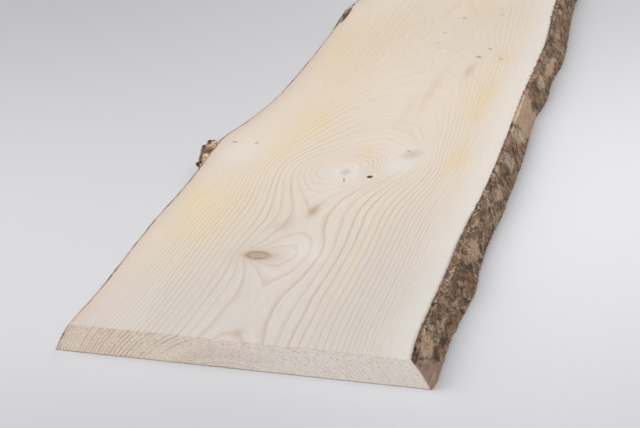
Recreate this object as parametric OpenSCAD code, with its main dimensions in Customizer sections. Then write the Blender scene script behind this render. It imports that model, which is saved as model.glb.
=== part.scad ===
// Live-edge softwood board, sawn through a log and left unedged: two flat sawn
// faces, two natural edges that still carry bark. It lies on the face that was
// nearer the log's pith, which is the wider one. Each piece is a layer of the
// log, lofted past the saw cuts and then cut by them. Stations run along +Y from
// the butt end; the origin is on the ground under the middle of the whole board.

/* [Board] */
// Length of the board
board_len = 2000; // [1200:100:2400]
// Thickness between the two sawn faces
board_t = 28; // [18:0.5:40]
// Width of the upper sawn face at the butt end
face_w = 328; // [240:2:420]
// Outward run of the right edge for each millimetre of thickness
lean_right = 0.65; // [0.2:0.05:1.1]
// Outward run of the left edge for each millimetre of thickness
lean_left = 0.5; // [0.2:0.05:1.1]
// How far both edges bow out between the sawn faces
edge_bow = 0.8; // [0:0.1:2]

/* [Bark] */
// Bark on the right edge, measured across the board
bark_t = 5; // [4:0.5:12]
// What is left of the right bark at the broken butt corner
bark_corner_t = 2; // [1:0.5:4]
// Inner bark on the left edge, measured across the board
inner_bark_t = 2; // [1:0.5:4]

/* [Bark scabs on the left edge] */
// Thickness of the scab nearer the butt end, over the inner bark
scab_near_t = 14; // [6:1:20]
// Start of that scab, from the butt end
scab_near_start = 440; // [300:20:600]
// Length of that scab
scab_near_len = 100; // [60:20:160]
// Thickness of the scab further along, over the inner bark
scab_far_t = 7; // [4:1:20]
// Start of that scab, from the butt end
scab_far_start = 1020; // [900:20:1060]
// Length of that scab
scab_far_len = 120; // [60:20:160]

/* [Hidden] */

// Longest step between two cross-sections
station_step = 20;
// Straight pieces that follow each edge from the underside to the upper face
edge_steps = 4;
// Room around the log, for the saw
saw_reach = 50;
RIGHT = 1;
LEFT = -1;

// How far the upper face's edges stand outside (+) or inside (-) the nominal half
// width, as [distance from the butt end, departure]. The trunk tapers, and drops
// in width past the whorls of branches at about 540 and 1150.
right_edge = [[0, 0], [50, -4], [200, -5], [300, -7], [450, -5], [600, -7], [700, -10],
              [800, -12], [1000, -13], [1100, -18], [1200, -25], [1350, -30],
              [1600, -34], [2000, -42], [2400, -50]];
left_edge = [[0, 0], [100, -1], [250, 3], [400, 2], [500, 5], [550, 5], [600, -5],
             [700, -17], [800, -20], [1000, -19], [1060, -17], [1140, -14], [1180, -19],
             [1350, -24], [1600, -29], [2000, -35], [2400, -43]];

// Change of the edges' lean along the board, as [distance, change]
right_lean = [[0, 0], [250, 0], [500, -0.1], [900, -0.1], [1100, 0.07], [1300, 0],
              [2400, 0]];
left_lean = [[0, 0], [500, -0.05], [1000, 0.05], [2400, 0]];

// Lumps on the right bark, as [distance, height, reach along the board]
bark_lumps = [[45, 1.4, 30], [228, 4.5, 42], [300, 1.2, 30], [600, 1.8, 110],
              [870, 3.4, 45], [1040, 1.6, 70], [1620, 2.5, 80]];
// Distance over which the broken corner of the bark comes up to full thickness
corner_reach = station_step;
// Thickness of the barks up the edge, as [share of the board's thickness, share
// of the bark's]
bark_profile = [[0.5, 1], [1, 0.85]];
scab_profile = [[0, 0.4], [0.5, 1], [0.75, 1], [1, 0.8]];
// Thickness of a scab where it begins, and the share of its length that it takes
// to reach its full thickness
scab_root = 0.3;
scab_rise = 0.6;

// Stations along the board and levels up its edges, and the log's, which run one
// step past each saw cut. A level is a share of the thickness, 0 at the underside.
station_count = ceil(board_len/station_step);
step = board_len/station_count;
stations = [for (i = [0 : station_count]) i*step];
log_stations = concat([-step], stations, [board_len + step]);
levels = [for (k = [0 : edge_steps]) k/edge_steps];
log_levels = [for (k = [-1 : edge_steps + 1]) k/edge_steps];

// Smooth curve through points [s, value]: cubic pieces whose slope at a point is
// that between its two neighbours
function slope_at(points, i) =
    let (a = points[max(i - 1, 0)], b = points[min(i + 1, len(points) - 1)])
    (b[1] - a[1])/(b[0] - a[0]);
function piece_at(points, s) =
    max(concat([0], [for (i = [0 : len(points) - 2]) if (s >= points[i][0]) i]));
function curve(points, s) =
    let (i = piece_at(points, s), a = points[i], b = points[i + 1], run = b[0] - a[0],
         u = (s - a[0])/run)
    a[1]*(1 + 2*u)*(1 - u)*(1 - u) + b[1]*u*u*(3 - 2*u)
    + run*u*(1 - u)*(slope_at(points, i)*(1 - u) - slope_at(points, i + 1)*u);

function lean(side, s) =
    side == RIGHT ? lean_right + curve(right_lean, s) : lean_left + curve(left_lean, s);

// Distance of the wood's edge from the board's axis at station s and level f
function wood_out(side, s, f) =
    face_w/2 + curve(side == RIGHT ? right_edge : left_edge, s)
    + lean(side, s)*board_t*(1 - f) + edge_bow*4*f*(1 - f);

function lump(s, p) = p[1]*exp(-pow((s - p[0])/p[2], 2));
function add_up(values, i = 0) = i < len(values) ? values[i] + add_up(values, i + 1) : 0;
function full_bark(s) = bark_t + add_up([for (p = bark_lumps) lump(s, p)]);
function right_bark(s) =
    bark_corner_t + (full_bark(s) - bark_corner_t)*min(1, max(0, s/corner_reach));

// Outside of the bark that covers the whole edge
function bark_out(side, s, f) =
    wood_out(side, s, f)
    + (side == RIGHT ? right_bark(s) : inner_bark_t)*lookup(f, bark_profile);

// A scab is [its stations, its thickness]; its stations are stations of the log,
// so that it seats on the inner bark
function scab(start, length, thickness) =
    let (first = round(start/step))
    [[for (i = [first : first + round(length/step)]) i*step], thickness];
scab_near = scab(scab_near_start, scab_near_len, scab_near_t);
scab_far = scab(scab_far_start, scab_far_len, scab_far_t);

function share_along(scab, s) =
    (s - scab[0][0])/(scab[0][len(scab[0]) - 1] - scab[0][0]);
function scab_out(scab, s, f) =
    bark_out(LEFT, s, f) + scab[1]*lookup(f, scab_profile)
    *(scab_root + (1 - scab_root)*sin(90*min(1, share_along(scab, s)/scab_rise)));

// Whole width, which puts the origin under the middle
right_reach = max([for (s = stations, f = levels) bark_out(RIGHT, s, f)]);
left_reach = max(concat(
    [for (s = stations, f = levels) bark_out(LEFT, s, f)],
    [for (scab = [scab_near, scab_far], s = scab[0], f = levels) scab_out(scab, s, f)]));
origin = [(right_reach - left_reach)/2, board_len/2, 0];

// One edge of a cross-section, upwards through the given levels
function wood_edge(side, s, at) = [for (f = at) [side*wood_out(side, s, f), s, f*board_t]];
function bark_edge(side, s, at) = [for (f = at) [side*bark_out(side, s, f), s, f*board_t]];
function scab_edge(scab, s, at) = [for (f = at) [-scab_out(scab, s, f), s, f*board_t]];
function backwards(list) = [for (i = [len(list) - 1 : -1 : 0]) list[i]];

// Solid through a list of closed sections of equal length, each given as points.
// Turning the diagonals makes two solids that share a face share its triangles.
module loft(sections, turned = false) {
    size = len(sections[0]);
    last = len(sections) - 1;
    points = [for (section = sections, p = section) p];
    walls = [for (i = [0 : last - 1], j = [0 : size - 1])
        let (a = i*size + j, b = i*size + (j + 1)%size, c = b + size, d = a + size)
        each (turned ? [[a, b, d], [b, c, d]] : [[a, b, c], [a, c, d]])];
    butt = [[for (j = [0 : size - 1]) size - 1 - j]];
    tip = [[for (j = [0 : size - 1]) last*size + j]];
    polyhedron(points, concat(walls, butt, tip));
}

// What is left of a layer of the log between the two saw cuts and the crosscuts
module sawn() {
    intersection() {
        children();
        translate([-left_reach - saw_reach, 0, 0])
            cube([left_reach + right_reach + 2*saw_reach, board_len, board_t]);
    }
}

// The sawn wood between its two natural edges
module board() {
    color("wheat") translate(-origin) sawn() loft([for (s = log_stations) concat(
        wood_edge(RIGHT, s, log_levels), backwards(wood_edge(LEFT, s, log_levels)))]);
}

// Flaky outer bark along the right edge
module bark_right() {
    color("saddlebrown") translate(-origin) sawn() loft([for (s = log_stations) concat(
        backwards(wood_edge(RIGHT, s, log_levels)), bark_edge(RIGHT, s, log_levels))],
        turned = true);
}

// Thin inner bark along the left edge
module bark_left() {
    color("peru") translate(-origin) sawn() loft([for (s = log_stations) concat(
        wood_edge(LEFT, s, log_levels), backwards(bark_edge(LEFT, s, log_levels)))],
        turned = true);
}

// A piece of thick outer bark that still clings to the left edge
module bark_scab(scab) {
    color("sienna") translate(-origin) loft([for (s = scab[0]) concat(
        bark_edge(LEFT, s, levels), backwards(scab_edge(scab, s, levels)))]);
}

module bark_scab_near() {
    bark_scab(scab_near);
}

module bark_scab_far() {
    bark_scab(scab_far);
}

board();
bark_right();
bark_left();
bark_scab_near();
bark_scab_far();
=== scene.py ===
"""Looks of a live-edge softwood board: sawn wood between two natural edges that carry bark.

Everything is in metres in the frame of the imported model: +X towards the thick bark, +Y along
the board from the butt end to the tip, +Z up. "Station" is the distance from the butt end.
The growth rings are one field, worked out over the whole log and then met by each sawn face.
"""

import logging
import math
from dataclasses import dataclass, field
from enum import Enum
from typing import Callable, Sequence

import bpy
import numpy as np
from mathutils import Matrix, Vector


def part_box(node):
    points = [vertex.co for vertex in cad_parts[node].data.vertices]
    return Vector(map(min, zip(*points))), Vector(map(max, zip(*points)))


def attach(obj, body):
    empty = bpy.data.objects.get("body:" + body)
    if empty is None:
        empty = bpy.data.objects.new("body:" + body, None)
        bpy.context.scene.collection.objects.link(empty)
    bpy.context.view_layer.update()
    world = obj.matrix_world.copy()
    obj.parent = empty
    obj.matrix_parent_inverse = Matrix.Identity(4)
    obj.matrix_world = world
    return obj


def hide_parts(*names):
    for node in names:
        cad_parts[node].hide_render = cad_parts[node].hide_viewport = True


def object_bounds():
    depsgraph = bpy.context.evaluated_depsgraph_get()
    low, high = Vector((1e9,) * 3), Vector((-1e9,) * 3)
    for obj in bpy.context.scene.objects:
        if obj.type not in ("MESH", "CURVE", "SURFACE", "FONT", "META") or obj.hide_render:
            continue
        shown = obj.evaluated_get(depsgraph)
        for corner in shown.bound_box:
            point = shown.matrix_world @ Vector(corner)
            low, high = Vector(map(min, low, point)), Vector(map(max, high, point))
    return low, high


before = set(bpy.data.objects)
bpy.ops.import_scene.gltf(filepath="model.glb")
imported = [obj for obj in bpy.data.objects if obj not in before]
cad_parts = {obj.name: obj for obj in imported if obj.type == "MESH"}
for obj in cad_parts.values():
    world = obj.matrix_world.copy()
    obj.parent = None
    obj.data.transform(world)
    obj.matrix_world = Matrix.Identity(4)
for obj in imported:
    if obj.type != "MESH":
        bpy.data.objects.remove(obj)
CAD_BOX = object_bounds()

LOG = logging.getLogger("board")
MM = 0.001
BAKE_MAP = "OFBake"
Array = np.ndarray
Socket = bpy.types.NodeSocket
Pair = tuple[float, float]
Triple = tuple[float, float, float]
Colour = tuple[float, float, float]


# ---------------------------------------------------------------- patterns worked out in numpy

@dataclass(frozen=True)
class Noise:
    """Seeded random patterns over two coordinates, whole arrays at a time."""

    seed: int = 1
    # Each finer noise has its own seed, is moved off the last one's lattice, and is weaker
    seed_step = 31
    move = 17.3
    weaker = 0.55

    def dots(self, i: Array, j: Array, salt: int = 0) -> Array:
        """Mix each lattice point into a random number: the seed and both whole numbers are
        multiplied by large primes, and the high bits are folded into the low ones.

        Args:
            i: first whole number of the lattice point.
            j: second whole number.
            salt: which of several patterns with the same seed.

        Returns:
            A number from 0 to 1 for each point.
        """
        mask = np.int64(0xFFFFFFFF)
        mixed = (i.astype(np.int64) * 374761393 + j.astype(np.int64) * 668265263
                 + np.int64((self.seed * 7919 + salt) * 97531)) & mask
        mixed = ((mixed ^ (mixed >> 13)) * 1274126177) & mask
        mixed = ((mixed ^ (mixed >> 16)) * 668265263) & mask
        return (mixed ^ (mixed >> 15)).astype(float) / float(mask)

    def smooth(self, u: Array, v: Array) -> Array:
        """Blend the lattice's random numbers by 3t^2 - 2t^3 in both directions.

        Args:
            u: first coordinate, in lattice steps.
            v: second coordinate.

        Returns:
            Smooth noise from -1 to 1.
        """
        i, j = np.floor(u), np.floor(v)
        a, b = u - i, v - j
        a, b = a * a * (3 - 2 * a), b * b * (3 - 2 * b)
        low = self.dots(i, j) * (1 - a) + self.dots(i + 1, j) * a
        high = self.dots(i, j + 1) * (1 - a) + self.dots(i + 1, j + 1) * a
        return 2 * (low * (1 - b) + high * b) - 1

    def layers(self, u: Array, v: Array, count: int = 4) -> Array:
        """Add up smooth noises, each twice as fine and about half as strong as the last.

        Args:
            u: first coordinate, in steps of the coarsest noise.
            v: second coordinate.
            count: how many noises.

        Returns:
            The sum at each place.
        """
        total = np.zeros(np.broadcast(u, v).shape)
        for k in range(count):
            finer = Noise(self.seed + self.seed_step * k)
            away = self.move * k
            total += finer.smooth(u * 2**k + away, v * 2**k - away) * self.weaker**k
        return total

    def plates(self, u: Array, v: Array) -> tuple[Array, Array, Array]:
        """Divide the plane into cells around one random point in each lattice square.

        Args:
            u: first coordinate, one cell to a step.
            v: second coordinate.

        Returns:
            The gap between the distances to the second and to the nearest point, which is 0 on
            a border; the nearest cell's own random number; and the offset from its point in u.
        """
        i0, j0 = np.floor(u), np.floor(v)
        near = np.full(u.shape, 9.0)
        second = np.full(u.shape, 9.0)
        tone = np.zeros(u.shape)
        offset = np.zeros(u.shape)
        for di in (-1, 0, 1):
            for dj in (-1, 0, 1):
                i, j = i0 + di, j0 + dj
                du = i + self.dots(i, j, 1) - u
                dv = j + self.dots(i, j, 2) - v
                gap = np.hypot(du, dv)
                closer = gap < near
                second = np.where(closer, near, np.minimum(second, gap))
                tone = np.where(closer, self.dots(i, j, 3), tone)
                offset = np.where(closer, du, offset)
                near = np.where(closer, gap, near)
        return second - near, tone, offset


def ease(x: Array, start: float, end: float) -> Array:
    """Return a step from 0 at start to 1 at end, by 3t^2 - 2t^3; start may be above end."""
    t = np.clip((x - start) / (end - start), 0, 1)
    return t * t * (3 - 2 * t)


def bump(x: Array, y: Array, at: Sequence[float], reach: Sequence[float]) -> Array:
    """Return exp(-((x - x0)/rx)^2 - ((y - y0)/ry)^2), a soft mound at a place."""
    return np.exp(-((x - at[0]) / reach[0]) ** 2 - ((y - at[1]) / reach[1]) ** 2)


@dataclass(frozen=True)
class Curve:
    """A smooth curve through given points (x, y): cubic pieces whose slope at a point is
    that between its two neighbours."""

    points: tuple[Pair, ...]

    def __call__(self, x: Array) -> Array:
        """Work out the curve.

        Args:
            x: where, in the points' own units.

        Returns:
            The curve's value at each x; past an end it keeps the end's value.
        """
        px, py = np.array(self.points, float).T
        slope = np.gradient(py, px)
        slope[1:-1] = (py[2:] - py[:-2]) / (px[2:] - px[:-2])
        i = np.clip(np.searchsorted(px, x) - 1, 0, len(px) - 2)
        run = px[i + 1] - px[i]
        u = np.clip((x - px[i]) / run, 0, 1)
        return (py[i] * (1 + 2 * u) * (1 - u) ** 2 + py[i + 1] * u * u * (3 - 2 * u)
                + run * u * (1 - u) * (slope[i] * (1 - u) - slope[i + 1] * u))


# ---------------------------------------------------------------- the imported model's edges

class Flank(Enum):
    """Which side of a piece an edge line is on."""

    LOW_X = -1
    HIGH_X = 1


class EdgeLines:
    """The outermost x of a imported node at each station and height, read from its mesh."""

    def __init__(self, node: str) -> None:
        """Sort the node's points by station and height, and keep the extreme x of each.

        Args:
            node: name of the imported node.
        """
        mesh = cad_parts[node].data
        points = np.empty(len(mesh.vertices) * 3)
        mesh.vertices.foreach_get("co", points)
        points = points.reshape(-1, 3)
        ys = np.round(points[:, 1], 4)
        zs = np.round(points[:, 2], 4)
        self.stations = np.unique(ys)
        self.heights = np.array([z for z in np.unique(zs) if (zs == z).sum() > len(self.stations)])
        self.x = {}
        for flank in Flank:
            rows = []
            for z in self.heights:
                here = zs == z
                order = np.lexsort((flank.value * points[here, 0], ys[here]))
                y, x = ys[here][order], points[here, 0][order]
                last = np.append(np.diff(y) > 0, True)
                rows.append(np.interp(self.stations, y[last], x[last]))
            self.x[flank] = np.array(rows)

    def at(self, flank: Flank, y: Array, z: Array) -> Array:
        """Work out the edge's x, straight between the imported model's points.

        Args:
            flank: which edge.
            y: place along the board, in metres.
            z: height, in metres.

        Returns:
            The edge's x at each place.
        """
        level = np.clip(np.searchsorted(self.heights, z) - 1, 0, len(self.heights) - 2)
        low, high = self.heights[level], self.heights[level + 1]
        rows = np.array([np.interp(y, self.stations, row) for row in self.x[flank]])
        share = (z - low) / (high - low)
        pick = np.take_along_axis
        below = pick(rows, level[None], 0)[0]
        above = pick(rows, level[None] + 1, 0)[0]
        return below * (1 - share) + above * share


@dataclass(frozen=True)
class Datum:
    """Where places on the board are counted from: its axis and its butt end."""

    axis: float
    butt: float

    @classmethod
    def of_board(cls) -> "Datum":
        """Take the axis as the middle of the upper face at the butt end.

        Returns:
            The datum.
        """
        low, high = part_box("board")
        edges = EdgeLines("board")
        y, z = np.array([low.y]), np.array([high.z])
        middle = (edges.at(Flank.LOW_X, y, z) + edges.at(Flank.HIGH_X, y, z)) / 2
        return cls(float(middle[0]), low.y)


# ---------------------------------------------------------------- closed blocks of quads

@dataclass
class Block:
    """The closed shell of a grid that runs across, along and up a piece.

    across, along and up hold the grid's coordinates. shape turns the three coordinate arrays
    into a point array, and the six sides of the grid become the faces of the mesh.
    """

    name: str
    across: Array
    along: Array
    up: Array
    shape: Callable[[Array, Array, Array], Array]
    # Share of its real size that each kind of face gets on the baked map
    share_top: float = 1.0
    share_low: float = 0.5
    share_low_x: float = 1.0
    share_high_x: float = 1.0
    # Which of the piece's materials its two ends get
    end_material: int = 0
    # Clear strip between the sides on the baked map, in the piece's own metres
    margin: float = 0.006
    # Angle in degrees from which an edge is shaded sharp
    sharp_from: float = 55.0

    def __post_init__(self) -> None:
        """Number the points of the shell and work out where they are."""
        self.size = (len(self.across), len(self.along), len(self.up))
        index = np.indices(self.size)
        outside = np.zeros(self.size, bool)
        for axis in range(3):
            outside |= (index[axis] == 0) | (index[axis] == self.size[axis] - 1)
        self.number = np.cumsum(outside.ravel()).reshape(self.size) - 1
        i, j, k = (index[axis][outside] for axis in range(3))
        self.grid = (self.across[i], self.along[j], self.up[k])
        self.points = self.shape(*self.grid)

    def quads(self, axis: int, high: bool) -> Array:
        """Number the faces of one side, corner by corner, turned outwards.

        Args:
            axis: 0 across, 1 along, 2 up.
            high: whether the side is at the axis's high end.

        Returns:
            Point numbers of four corners for each face.
        """
        sheet = self.number.take(-1 if high else 0, axis=axis)
        faces = np.stack([sheet[:-1, :-1], sheet[1:, :-1], sheet[1:, 1:], sheet[:-1, 1:]], -1)
        outwards = high != (axis == 1)
        return faces if outwards else faces[..., ::-1]

    def chart(self, axis: int, high: bool) -> Array:
        """Take one side's face corners in the grid's own coordinates, in the order of quads().

        Args:
            axis: 0 across, 1 along, 2 up.
            high: whether the side is at the axis's high end.

        Returns:
            The two coordinates within the side, for each corner.
        """
        spans = [self.across, self.along, self.up]
        a, b = [spans[k] for k in range(3) if k != axis]
        u, v = np.meshgrid(a, b, indexing="ij")
        flat = np.stack([u, v], -1)
        corners = np.stack([flat[:-1, :-1], flat[1:, :-1], flat[1:, 1:], flat[:-1, 1:]], -2)
        outwards = high != (axis == 1)
        return corners if outwards else corners[..., ::-1, :]

    def bake_map(self, width: float, height: float) -> list[Array]:
        """Lay the six sides out on the unit square, the long ones folded into strips.

        Args:
            width: the piece's real width across, in metres.
            height: its real height up.

        Returns:
            One array of map coordinates for each side, in the order of sides().
        """
        length = self.along[-1] - self.along[0]
        margin = self.margin
        wide = [width * self.share_low, width * self.share_top,
                height * self.share_low_x, height * self.share_high_x]
        bundle = sum(wide) + margin * len(wide)
        folds = max(1, round(math.sqrt(length / bundle)))
        strip = length / folds
        offsets = np.cumsum([0] + [w + margin for w in wide])
        total = max(folds * bundle, strip + margin + 2 * (height + margin), width + 2 * margin)
        placed = []
        for n, (axis, high) in enumerate(self.sides()):
            chart = self.chart(axis, high)
            if axis == 1:
                a = (chart[..., 0] - self.across[0]) / np.ptp(self.across) * width
                b = (chart[..., 1] - self.up[0]) / np.ptp(self.up) * height
                rows = strip + margin + (height + margin) * int(high)
                placed.append(np.stack([a + margin, b + rows], -1) / total)
                continue
            if axis == 0:
                along, over, base = chart[..., 0], chart[..., 1], self.up
            else:
                along, over, base = chart[..., 1], chart[..., 0], self.across
            share = (over - base[0]) / np.ptp(base)
            fold = np.floor((along.mean(-1) - self.along[0]) / strip + 1e-9)
            fold = np.minimum(fold, folds - 1)[..., None]
            run = along - self.along[0] - fold * strip
            out = fold * bundle + offsets[n] + share * wide[n]
            placed.append(np.stack([out + margin / 2, run + margin / 2], -1) / total)
        return placed

    @staticmethod
    def sides() -> tuple[tuple[int, bool], ...]:
        """Return (axis, high) of each side: underside, top, low x, high x, butt and tip."""
        return ((2, False), (2, True), (0, False), (0, True), (1, False), (1, True))

    def build(self, width: float, height: float) -> bpy.types.Object:
        """Put the shell into a mesh object with its bake map and smooth shading.

        Args:
            width: the piece's real width across, in metres.
            height: its real height up.

        Returns:
            The piece.
        """
        faces, maps, slots = [], [], []
        for (axis, high), chart in zip(self.sides(), self.bake_map(width, height)):
            quads = self.quads(axis, high).reshape(-1, 4)
            faces.append(quads)
            maps.append(chart.reshape(-1, 2))
            slots.append(np.full(len(quads), self.end_material if axis == 1 else 0))
        corners = np.concatenate(faces).astype(np.int32)
        mesh = bpy.data.meshes.new(self.name)
        mesh.vertices.add(len(self.points))
        mesh.vertices.foreach_set("co", self.points.astype(np.float32).ravel())
        mesh.loops.add(corners.size)
        mesh.loops.foreach_set("vertex_index", corners.ravel())
        mesh.polygons.add(len(corners))
        mesh.polygons.foreach_set("loop_start", np.arange(0, corners.size, 4, dtype=np.int32))
        mesh.polygons.foreach_set("material_index", np.concatenate(slots).astype(np.int32))
        mesh.update(calc_edges=True)
        layer = mesh.uv_layers.new(name=BAKE_MAP)
        layer.data.foreach_set("uv", np.concatenate(maps).astype(np.float32).ravel())
        mesh.shade_smooth()
        mesh.set_sharp_from_angle(angle=math.radians(self.sharp_from))
        piece = bpy.data.objects.new(self.name, mesh)
        bpy.context.scene.collection.objects.link(piece)
        return piece


def add_number(piece: bpy.types.Object, name: str, values: Array) -> None:
    """Store one number for each point of a piece, for its finish to read."""
    layer = piece.data.attributes.new(name, "FLOAT", "POINT")
    layer.data.foreach_set("value", np.asarray(values, np.float32))


def add_triple(piece: bpy.types.Object, name: str, values: Sequence[Array]) -> None:
    """Store three numbers for each point of a piece, for its finish to read."""
    layer = piece.data.attributes.new(name, "FLOAT_VECTOR", "POINT")
    layer.data.foreach_set("vector", np.stack(values, -1).astype(np.float32).ravel())


def spaced(start: float, end: float, parts: Sequence[Pair]) -> Array:
    """Space coordinates out: up to each part's limit they lie its step apart.

    Args:
        start: the first coordinate.
        end: the last one.
        parts: a limit and a step for each part.

    Returns:
        The coordinates.
    """
    runs = [np.array([start])]
    for limit, step in parts:
        stop = min(limit, end)
        begin = runs[-1][-1]
        count = max(1, round((stop - begin) / step))
        runs.append(np.linspace(begin, stop, count + 1)[1:])
    return np.concatenate(runs)


# ---------------------------------------------------------------- growth rings, knots and tints
# Places on the board are in millimetres: x from its axis, station from its butt end.

class KnotKind(Enum):
    """How a branch shows where the saw met it."""

    RED = "red heart in a dark rim"
    GREY = "sound and grey"
    FAINT = "small, brown and worn"
    PIN = "small and black"
    RESIN = "drop of resin"
    CHIP = "chip of bark over the arris"


@dataclass(frozen=True)
class Knot:
    """A branch cut by the saw, and how it presses the rings around it outwards.

    turn is in degrees. push is how far the rings are pressed, and reach how far around the
    knot that is felt, across and along.
    """

    kind: KnotKind
    x: float
    station: float
    width: float
    length: float
    turn: float = 0.0
    push: float = 0.0
    reach: Pair = (10.0, 16.0)


KNOTS = (
    Knot(KnotKind.RED, -36, 205, 30, 25, push=6, reach=(18, 24)),
    Knot(KnotKind.FAINT, -28, 204, 6, 9),
    Knot(KnotKind.GREY, -3, 464, 14, 28, push=2, reach=(22, 34)),
    Knot(KnotKind.GREY, 59, 540, 26, 40, turn=-18, push=7, reach=(20, 34)),
    Knot(KnotKind.FAINT, 72, 937, 13, 20, push=5, reach=(16, 26)),
    Knot(KnotKind.FAINT, 81, 978, 9, 12, push=4, reach=(12, 22)),
    Knot(KnotKind.FAINT, 7, 990, 8, 9, push=3, reach=(12, 20)),
    Knot(KnotKind.FAINT, 7, 1040, 8, 9, push=3, reach=(12, 18)),
    Knot(KnotKind.FAINT, 21, 1120, 10, 14, push=4, reach=(14, 22)),
    Knot(KnotKind.PIN, 27, 455, 6.5, 9, push=1.5, reach=(8, 12)),
    Knot(KnotKind.FAINT, -153, 533, 11, 12, push=3, reach=(9, 14)),
    Knot(KnotKind.FAINT, -127, 535, 6, 14, turn=-14, push=1.2, reach=(7, 10)),
    Knot(KnotKind.FAINT, 53, 550, 7, 9),
    Knot(KnotKind.FAINT, 102, 934, 8, 14, push=3, reach=(10, 16)),
    Knot(KnotKind.PIN, 1, 438, 1.1, 13, turn=12),
    Knot(KnotKind.RESIN, 72, 1150, 8, 15),
    Knot(KnotKind.CHIP, -146.5, 1096, 6.5, 86, turn=1.5),
    Knot(KnotKind.CHIP, -148.5, 1150, 4, 14),
    Knot(KnotKind.CHIP, -147.5, 1169, 3.5, 8),
)


@dataclass(frozen=True)
class RingField:
    """Growth rings of the log the board was sawn from. All lengths are in millimetres.

    The radius met at a point is sqrt(h^2 + q^2 (r_edge^2 - h^2)), where h is the height above
    the pith and q the share of the way from the axis to the bark edge. So every edge follows
    the same last ring. The whorls of branches swell the core, which closes the rings there
    into pointed arches, and each knot presses the rings outwards.
    """

    edge_radius: float = 203.0
    # Radius met on the axis by the upper face, along the board
    core: Curve = Curve((
        (-40, 116.2), (0, 117.5), (28, 119), (50, 119.55), (90, 119.6), (125, 119), (180, 116.5),
        (215, 115.2), (247, 116.5), (280, 119), (302, 119.4), (325, 119), (360, 117.6),
        (392, 116.2), (430, 112.5), (462, 108.5), (495, 108.3), (513, 110), (540, 114.5), (569, 119),
        (590, 122.5), (625, 129.5), (700, 140), (800, 146), (870, 150), (940, 150), (1000, 154),
        (1100, 157), (1300, 159), (1600, 162), (2040, 167)))
    # The same, some way off the axis, where the swelling at the whorl is spread out
    flank: Curve = Curve((
        (-40, 116.2), (0, 117.5), (100, 118.8), (250, 119), (300, 119.8), (335, 119.8), (365, 118.3),
        (405, 114.5), (440, 110), (478, 107.3), (505, 109.5), (548, 116.5), (590, 120.8),
        (628, 123.5), (700, 131), (800, 140), (870, 146), (940, 149.5), (1000, 153.5), (1100, 157),
        (1300, 159), (1600, 162), (2040, 167)))
    flank_reach: float = 40.0
    # Where the middle of the rings wanders to, off the axis
    centre: Curve = Curve((
        (-40, -9), (300, -9), (330, -12), (390, -19), (430, -19), (462, -12), (495, 2), (530, 13),
        (570, 18), (640, 20), (720, 24), (870, 37), (965, 29), (1050, 19), (1200, 9), (1500, -1),
        (2040, -7)))
    # How far the arches are drawn to a point, and how sharply
    point: Curve = Curve((
        (-40, 0.3), (60, 0.6), (125, 1.6), (180, 0.5), (250, 0.3), (320, 2.2), (350, 2.2),
        (400, 0.5), (460, 0), (520, 1), (590, 3), (650, 3), (760, 2), (870, 4), (950, 1),
        (2040, 1)))
    point_reach: float = 16.0
    centre_reach: float = 70.0
    # Width of a ring at each radius
    width: Curve = Curve((
        (90, 2.1), (100, 2.2), (112, 2.3), (117, 2.5), (121, 3.7), (150, 3.5), (165, 3.0),
        (210, 2.7), (235, 2.7)))
    # Radius of the line that the rings are counted from, and how far they waver
    first_line: float = 119.0
    waver: float = 0.35

    def radius(self, x: Array, s: Array, depth: Array, half: Array) -> Array:
        """Work out the ring radius by the formula above.

        Args:
            x: distance from the axis.
            s: station.
            depth: distance below the upper face.
            half: distance from the axis to the wood's edge on the point's own side.

        Returns:
            The radius at each point.
        """
        off = x - self.centre(s) * np.exp(-(x / self.centre_reach) ** 2)
        share = off / half
        lift = self.point(s)
        near = np.exp(-(off / self.flank_reach) ** 2)
        height = self.flank(s) + (self.core(s) + lift - self.flank(s)) * near - depth
        radius = np.sqrt(height**2 + share**2 * (self.edge_radius**2 - height**2))
        radius -= lift * np.exp(-np.abs(off) / self.point_reach)
        for knot in KNOTS:
            radius -= knot.push * bump(x, s, (knot.x, knot.station), knot.reach)
        return radius + self.waver * Noise(5).layers(s / 70, x / 16 + depth / 40, 3)

    def number(self, radius: Array) -> Array:
        """Count the rings: the integral of 1/width over the radius.

        Args:
            radius: ring radius at each point.

        Returns:
            How many rings lie inside each radius, counted from the first line.
        """
        steps = np.linspace(self.width.points[0][0], self.width.points[-1][0], 3000)
        per = 1 / self.width(steps)
        count = np.concatenate([[0], np.cumsum(np.diff(steps) * (per[1:] + per[:-1]) / 2)])
        return np.interp(radius, steps, count) - np.interp(self.first_line, steps, count)


class Tint(Enum):
    """Colours that stain the wood in soft patches."""

    YELLOW = 0
    BROWN = 1
    PALE = 2


@dataclass(frozen=True)
class Stain:
    """A soft patch of one tint: its place, its reach across and along, and its strength, of
    which 1 or more is full at the middle."""

    tint: Tint
    x: float
    station: float
    across: float
    along: float
    strength: float


def stains(tint: Tint, *places: tuple[float, ...]) -> tuple[Stain, ...]:
    """Return stains of one tint, each from its place, its reaches and its strength."""
    return tuple(Stain(tint, *place) for place in places)


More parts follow.
